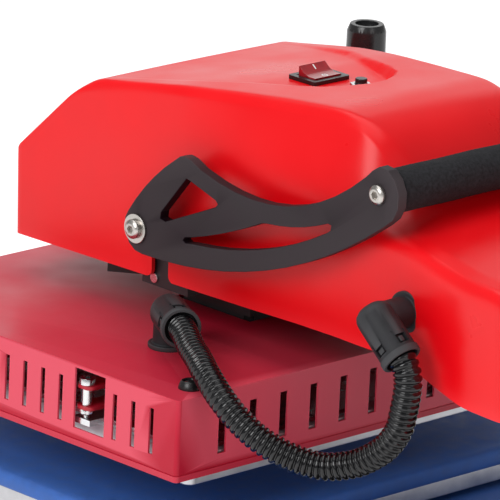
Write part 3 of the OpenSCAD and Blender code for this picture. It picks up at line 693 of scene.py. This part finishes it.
def hex_radius(corner, angle):
    """How far a hexagon's edge is from its middle, at an angle. corner is its largest radius."""
    turned = (angle + math.pi / 6) % (math.pi / 3) - math.pi / 6
    return corner * math.cos(math.pi / 6) / math.cos(turned)


def socket_head(name, radius, height, socket, dome=0.0, depth=2.4):
    """A screw head about Z with a six-sided socket in its top."""
    edge = 0.45
    profile = [(radius - 0.2, 0), (radius, 0.25), (radius, height - dome - edge),
               (radius - edge * 0.3, height - dome - edge * 0.3)]
    for step in range(1, 6):
        t = step / 5
        profile.append((radius - edge - (radius - edge - socket * 1.25) * t, height - dome * (1 - t) ** 2))
    rings = [[(r * math.cos(a), r * math.sin(a), z) for a in circle()] for r, z in profile]
    for z in (height - 0.1, height - depth):
        rings.append([(hex_radius(socket, a) * math.cos(a), hex_radius(socket, a) * math.sin(a), z)
                      for a in circle()])
    head = stacked(name, rings, (True, True))
    sharpen(head, 30)
    return head


def hexagon(name, radius, height):
    """A nut about Z with chamfered corners."""
    rings = []
    for inset, z in ((0.7, 0), (0, 0.5), (0, height - 0.5), (0.7, height)):
        ring = []
        for a in circle():
            reach = min(hex_radius(radius, a), radius - inset)
            ring.append((reach * math.cos(a), reach * math.sin(a), z))
        rings.append(ring)
    nut = stacked(name, rings, (True, True))
    sharpen(nut, 25)
    return nut


def threaded(name, radius, bottom, top, pitch=1.0):
    """A threaded rod about Z, with its thread as rings."""
    root, end = radius - 0.45, radius - 0.5
    heights = np.arange(bottom, top, pitch / 2)
    profile = [(end, bottom)] + [(radius if k % 2 else root, z) for k, z in enumerate(heights)]
    profile.append((end, top))
    return lathe(name, profile, 24)


def make_levelling_screws():
    """A threaded rod, head, nut and sleeve at each of the cover's side windows."""
    low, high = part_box("levelling_screws")
    x, y = (high.x - low.x) / 2 / MM - 5.5, (high.y - low.y) / 2 / MM - 4.76
    parts = []
    for cx, cy in corners(x, y):
        parts.append(place(threaded("thread", 3, low.z / MM, COVER_TOP - 12), (cx, cy, 0)))
        parts.append(place(socket_head("head", 5.4, 4.4, 2.4), (cx, cy, COVER_TOP - 14.45)))
        parts.append(place(hexagon("nut", 5.4, 2.9), (cx, cy, COVER_TOP - 34.0)))
        parts.append(place(lathe("sleeve", [(3.1, -28.4), (3.8, -28.2), (3.8, -17.3), (3.1, -17.1)]),
                           (cx, cy, COVER_TOP)))
    screws = join("levelling_screw_set", parts)
    sharpen(screws, 30)
    dress(screws, "zinc_fastener", "upper_platen", ("levelling_screws",))


def make_lever_bolts():
    """The pivot bolts, and the bolts in the cross bar's ends."""
    parts = []
    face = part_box("lever_bolts")[1].x / MM - 6
    for sign in (-1, 1):
        spin = turn_y(90 * sign)
        for middle, out, length in ((SHAFT, face + 2, 18), (BAR, face, 16)):
            at = (sign * out, middle.y, middle.z)
            parts.append(place(socket_head("head", 6.5, 4, 2.9, 1.3), at, spin))
            parts.append(place(lathe("shank", [(4, -length), (4, 0.5)]), at, spin))
    bolts = join("lever_bolt_set", parts)
    sharpen(bolts, 30)
    dress(bolts, "bolt_steel", "lever", ("lever_bolts",))


def make_caps():
    """The four push-in caps on the cover, each with a ring round a domed middle."""
    low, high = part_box("cover_caps")
    x, y = (high.x - low.x) / 2 / MM - 8, (high.y - low.y) / 2 / MM - 8
    profile = [(2.4, -8), (2.4, 0), (7.9, 0.0), (8, 0.5), (7.5, 2.2), (6.7, 4.4), (6.2, 5.1), (5.6, 5.4),
               (5.0, 5.2), (4.6, 4.6), (4.5, 3.9), (3.9, 4.3), (2.6, 4.9), (1.2, 5.2), (0.3, 5.25)]
    caps = join("screw_caps", [place(lathe("cap", profile), (cx, cy, COVER_TOP)) for cx, cy in corners(x, y)])
    sharpen(caps, 40)
    dress(caps, "switch_plastic", "upper_platen", ("cover_caps",))


# ---------------------------------------------------------------- small marks
def bar(name, ends, width, thick, matrix):
    """A thin raised bar between two points on a plane, both in millimetres."""
    (x0, y0), (x1, y1) = ends
    length = math.hypot(x1 - x0, y1 - y0)
    obj = cube(name, (length, width, thick), (0, 0, thick / 2), min(width, thick) * 0.3)
    spin = Matrix.Rotation(math.atan2(y1 - y0, x1 - x0), 4, "Z")
    obj.data.transform(matrix @ shift((x0 + x1) / 2, (y0 + y1) / 2, 0) @ spin)
    return obj


PANEL = shift(0, -96, COVER_TOP + 114) @ turn_x(43)
BUTTON_X = (-45, -15, 15, 45)
SEGMENTS = {"a": ((-2, 4), (2, 4)), "b": ((2.4, 3.6), (2.4, 0.4)), "c": ((2.4, -0.4), (2.4, -3.6)),
            "d": ((-2, -4), (2, -4)), "e": ((-2.4, -0.4), (-2.4, -3.6)), "f": ((-2.4, 3.6), (-2.4, 0.4)),
            "g": ((-2, 0), (2, 0))}
DIGITS = {"1": "bc", "8": "abcdefg", "0": "abcdef", "2": "abged", "5": "afgcd"}


def make_digits():
    """A temperature and a time in the panel's window."""
    parts = []
    for at, digit in zip((-21, -12, -3, 9, 18), "18025"):
        offset = PANEL @ shift(at, 13, 1.72)
        for segment in DIGITS[digit]:
            parts.append(bar("segment", SEGMENTS[segment], 0.8, 0.12, offset))
    digits = join("display_digits", parts)
    digits.data.materials.append(DIGIT)
    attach(digits, "head")


def make_rocker_marks():
    """The on and off marks, each on its own face of the rocker."""
    top = shift(0, 75, COVER_TOP + 166)
    front = top @ shift(0, -4.8, 7.12) @ turn_x(-38.4)
    back = top @ shift(0, 5.4, 3.66) @ turn_x(1)
    on_mark = bar("mark", ((0, -2), (0, 2)), 1.0, 0.15, front)
    turns = np.linspace(0, 2 * math.pi, 32, endpoint=False)
    rings = [[(r * math.cos(a), 1.15 * r * math.sin(a), z) for a in turns]
             for r, z in ((1.4, 0), (2.2, 0), (2.2, 0.15), (1.4, 0.15), (1.4, 0))]
    ring = stacked("ring", rings, (False, False))
    ring.data.transform(back)
    rocker_marks = join("rocker_marks", [on_mark, ring])
    rocker_marks.data.materials.append(MARK)
    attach(rocker_marks, "power_rocker")


def make_button_symbols():
    """Lines, an up arrow, a down arrow and clock hands, one on each button."""
    symbols = {"set": [((-2, 1.6), (2, 1.6)), ((-2, 0), (2, 0)), ((-2, -1.6), (2, -1.6))],
               "up": [((-2.4, -1), (0, 1.6)), ((0, 1.6), (2.4, -1))],
               "down": [((-2.4, 1), (0, -1.6)), ((0, -1.6), (2.4, 1))],
               "timer": [((0, 0), (0, 2.2)), ((0, 0), (1.6, -0.8))]}
    for (label, lines), x in zip(symbols.items(), BUTTON_X):
        plane = PANEL @ shift(x, -18, 4.95)
        symbol = join(f"{label}_symbol", [bar("line", ends, 0.7, 0.15, plane) for ends in lines])
        symbol.data.materials.append(MAT["panel_plastic"])
        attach(symbol, f"{label}_button")


def make_inlet_pins():
    z = COVER_TOP + 62
    pins = [cube("pin", (2.0, 11, 4.0), (x, 396, z + dz), 0.3) for x, dz in ((-7, -2), (7, -2), (0, 3))]
    dress(join("inlet_pins", pins), "zinc_fastener", "head")


# ---------------------------------------------------------------- CAD nodes that stay
EASED = {
    "platen_cover": 0.55, "lever_plate_right": 0.6, "lever_plate_left": 0.6, "deck": 1.2, "base_frame": 1.5,
    "heating_plate": 1.0, "lower_table": 1.2, "carrier_rails": 0.4, "switch_bezel": 0.6, "mains_inlet": 0.8,
    "control_panel": 0.8, "column": 0.8, "column_bolts": 0.6, "swing_arm": 0.8, "grip_bracket": 0.5,
    "press_block": 0.8, "rocker": 0.7, "star_wheel": 1.6, "breaker_nut": 0.4, "swing_grip": 0.9,
    "grip_screw": 0.6, "hood_screws": 0.7, "lever_washers": 0.3, "deck_screws": 0.6, "rubber_feet": 1.0,
    "controller_box": 1.0, "breaker_button": 0.6, "display_window": 0.4, "button_set": 0.5, "button_up": 0.5,
    "button_down": 0.5, "button_timer": 0.5, "lever_shaft": 0.4, "press_cam": 0.5, "cam_roller": 0.5,
    "guide_rods": 0.5, "spindle_nut": 0.5, "guide_bushes": 0.4, "thrust_washer": 0.3,
}


def dress_cad():
    """The finish of each node that no piece replaces, and a small bevel on most of them."""
    slots = {part["node"]: part["material_slot"] for part in frame["record"]["subparts"]}
    for name, obj in frame["nodes"].items():
        if obj.hide_render:
            continue
        obj.data.materials.clear()
        obj.data.materials.append(MAT[slots[name]])
        if name in EASED:
            weld = obj.modifiers.new("weld", "WELD")
            weld.merge_threshold = 0.000002
            flat = obj.modifiers.new("flat", "DECIMATE")
            flat.decimate_type = "DISSOLVE"
            flat.angle_limit = math.radians(1.5)
            bevelled(obj, EASED[name], 2, 28)
            smooth = obj.modifiers.new("normals", "WEIGHTED_NORMAL")
            smooth.keep_sharp = False


# ---------------------------------------------------------------- surroundings
FLOOR_REACH = 6000
WORLD_LIGHT = 0.34
LAMPS = (
    ("key", (2.6, 0.4, 1.9), (0, 0.1, 0.2), 1.6, 46),
    ("rear", (0.4, 3.0, 1.6), (0, 0.1, 0.2), 1.4, 9),
    ("back", (-1.7, -1.6, 1.15), (0, 0.1, 0.3), 1.9, 8),
    ("over", (0.2, -0.2, 2.6), (0, 0.1, 0.2), 2.2, 26),
)


def make_stage():
    """A plain floor, soft lamps and an even sky. Each lamp has a name, place, aim, size and power."""
    square = [(FLOOR_REACH * x, FLOOR_REACH * y, 0) for x, y in ((-1, -1), (1, -1), (1, 1), (-1, 1))]
    floor = new_object("floor", square, [(0, 1, 2, 3)])
    floor.data.materials.append(glow("floor", (0.84, 0.84, 0.84), 0.5, mottle=(2, 0.005), grain=(300, 0.01)))
    for name, at, aim, size, watts in LAMPS:
        data = bpy.data.lights.new(name, "AREA")
        data.size = size
        data.energy = watts
        lamp = bpy.data.objects.new(name, data)
        bpy.context.scene.collection.objects.link(lamp)
        lamp.location = at
        lamp.rotation_euler = (Vector(aim) - Vector(at)).to_track_quat("-Z", "Y").to_euler()
    world = bpy.data.worlds.new("world")
    bpy.context.scene.world = world
    world.use_nodes = True
    world.node_tree.nodes["Background"].inputs["Color"].default_value = (1, 1, 1, 1)
    world.node_tree.nodes["Background"].inputs["Strength"].default_value = WORLD_LIGHT
    bpy.context.scene.view_settings.view_transform = "Standard"


make_hood()
make_elbow("inner_elbow", 23, 34, shift(117, 64, COVER_TOP) @ turn_z(-30), "upper_platen", "platen_elbow")
make_elbow("outer_elbow", 28, 32, shift(98, 261, COVER_TOP + 71) @ turn_y(90) @ turn_z(-40),
           "head", "head_elbow")
make_foam()
make_pad()
make_springs()
make_levelling_screws()
make_lever_bolts()
make_caps()
make_digits()
make_rocker_marks()
make_button_symbols()
make_inlet_pins()
dress_cad()
make_stage()
